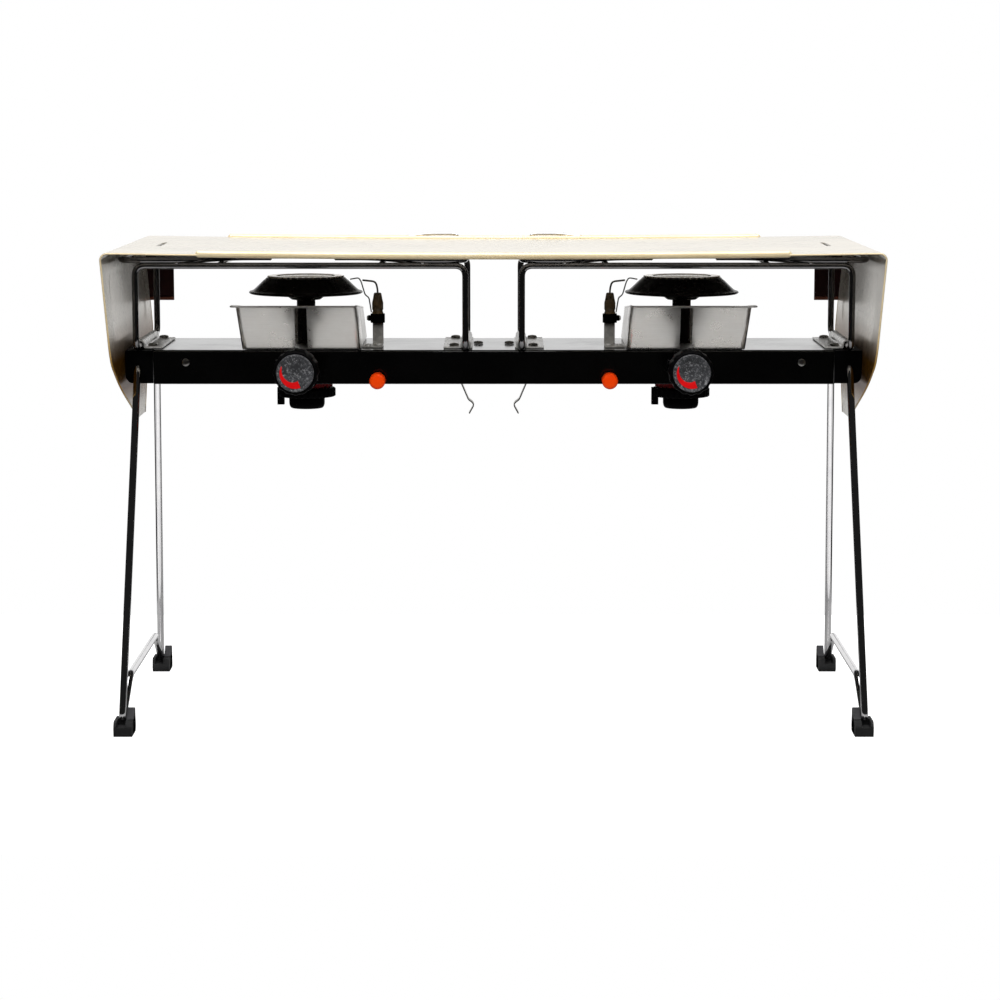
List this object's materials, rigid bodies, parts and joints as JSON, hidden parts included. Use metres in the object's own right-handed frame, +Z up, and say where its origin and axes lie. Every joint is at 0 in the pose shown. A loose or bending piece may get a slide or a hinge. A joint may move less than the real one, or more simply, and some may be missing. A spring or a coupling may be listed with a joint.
{
  "type": "camp stove",
  "caption": "Folding camp stove with paired gas burners on a wire-legged beam, wire pot grates and a bent sheet cover that slides on over them.",
  "frame": {"origin": "centre of the base on the surface the stove stands on", "axes": "+X along the beam to the right seen from the knobs, +Y to the back, +Z up"},
  "size_m": [0.6228, 0.288, 0.393],
  "materials": {
    "cover_metal": "glossy champagne coat on bent sheet",
    "black_enamel": "gloss black coat",
    "chrome_wire": "bright chrome plate",
    "zinc_hardware": "bright zinc plate",
    "spring_steel": "plain spring steel",
    "stainless_pan": "brushed stainless sheet",
    "burner_black": "heat-blackened casting",
    "burner_steel": "polished steel ring",
    "black_plastic": "fine moulded grain",
    "dial_plastic": "speckled grey with a red flame scale",
    "red_plastic": "gloss dark red",
    "orange_plastic": "gloss orange",
    "rubber": "matt moulded rubber",
    "ceramic": "brown glazed ceramic",
    "galvanised": "plain galvanised sheet"
  },
  "bodies": {
    "chassis": {"beam": "black_enamel", "end_cap_right": "black_plastic", "grate_right": "chrome_wire", "grate_clamp_right_outer": "zinc_hardware", "clamp_screw_right_outer_front": "zinc_hardware", "clamp_screw_right_outer_back": "zinc_hardware", "grate_clamp_right_inner": "zinc_hardware", "clamp_screw_right_inner_front": "zinc_hardware", "clamp_screw_right_inner_back": "zinc_hardware", "clip_screw_right": "zinc_hardware", "case_screw_right": "zinc_hardware", "spring_clip_right": "spring_steel", "drip_pan_right": "stainless_pan", "burner_tube_right": "burner_black", "burner_head_right": "burner_black", "burner_ring_right": "burner_steel", "valve_body_right": "black_enamel", "lock_ring_right": "red_plastic", "canister_collar_right": "black_plastic", "piezo_case_right": "black_plastic", "igniter_bracket_right": "galvanised", "igniter_insulator_right": "ceramic", "igniter_electrode_right": "spring_steel", "end_cap_left": "black_plastic", "grate_left": "chrome_wire", "grate_clamp_left_outer": "zinc_hardware", "clamp_screw_left_outer_front": "zinc_hardware", "clamp_screw_left_outer_back": "zinc_hardware", "grate_clamp_left_inner": "zinc_hardware", "clamp_screw_left_inner_front": "zinc_hardware", "clamp_screw_left_inner_back": "zinc_hardware", "clip_screw_left": "zinc_hardware", "case_screw_left": "zinc_hardware", "spring_clip_left": "spring_steel", "drip_pan_left": "stainless_pan", "burner_tube_left": "burner_black", "burner_head_left": "burner_black", "burner_ring_left": "burner_steel", "valve_body_left": "black_enamel", "lock_ring_left": "red_plastic", "canister_collar_left": "black_plastic", "piezo_case_left": "black_plastic", "igniter_bracket_left": "galvanised", "igniter_insulator_left": "ceramic", "igniter_electrode_left": "spring_steel"},
    "leg_right": {"leg_frame_right": "chrome_wire", "foot_right_front": "rubber", "foot_right_back": "rubber"},
    "control_right": {"knob_right": "black_plastic", "knob_dial_right": "dial_plastic"},
    "button_right": {"igniter_button_right": "orange_plastic"},
    "leg_left": {"leg_frame_left": "chrome_wire", "foot_left_front": "rubber", "foot_left_back": "rubber"},
    "control_left": {"knob_left": "black_plastic", "knob_dial_left": "dial_plastic"},
    "button_left": {"igniter_button_left": "orange_plastic"},
    "cover": {"cover": "cover_metal", "cover_hook_right": "chrome_wire", "cover_hook_left": "chrome_wire"}
  },
  "joints": [
    {"name": "leg_fold_right", "type": "hinge", "parent": "chassis", "child": "leg_right", "pos_m": [0.292, 0, 0.292], "axis": [0, 1, 0], "range_deg": [0, 82]},
    {"name": "knob_turn_right", "type": "hinge", "parent": "chassis", "child": "control_right", "pos_m": [0.1578, -0.1, 0.2943], "axis": [0, -1, 0], "range_deg": [0, 270]},
    {"name": "button_press_right", "type": "slide", "parent": "chassis", "child": "button_right", "axis": [0, 1, 0], "range_m": [0, 0.005], "stiffness_N_per_m": 400},
    {"name": "leg_fold_left", "type": "hinge", "parent": "chassis", "child": "leg_left", "pos_m": [-0.292, 0, 0.292], "axis": [0, -1, 0], "range_deg": [0, 82]},
    {"name": "knob_turn_left", "type": "hinge", "parent": "chassis", "child": "control_left", "pos_m": [-0.1578, -0.1, 0.2943], "axis": [0, -1, 0], "range_deg": [0, 270]},
    {"name": "button_press_left", "type": "slide", "parent": "chassis", "child": "button_left", "axis": [0, 1, 0], "range_m": [0, 0.005], "stiffness_N_per_m": 400},
    {"name": "cover_slide", "type": "slide", "parent": "chassis", "child": "cover", "axis": [0, 1, 0], "range_m": [0, 0.295]}
  ]
}
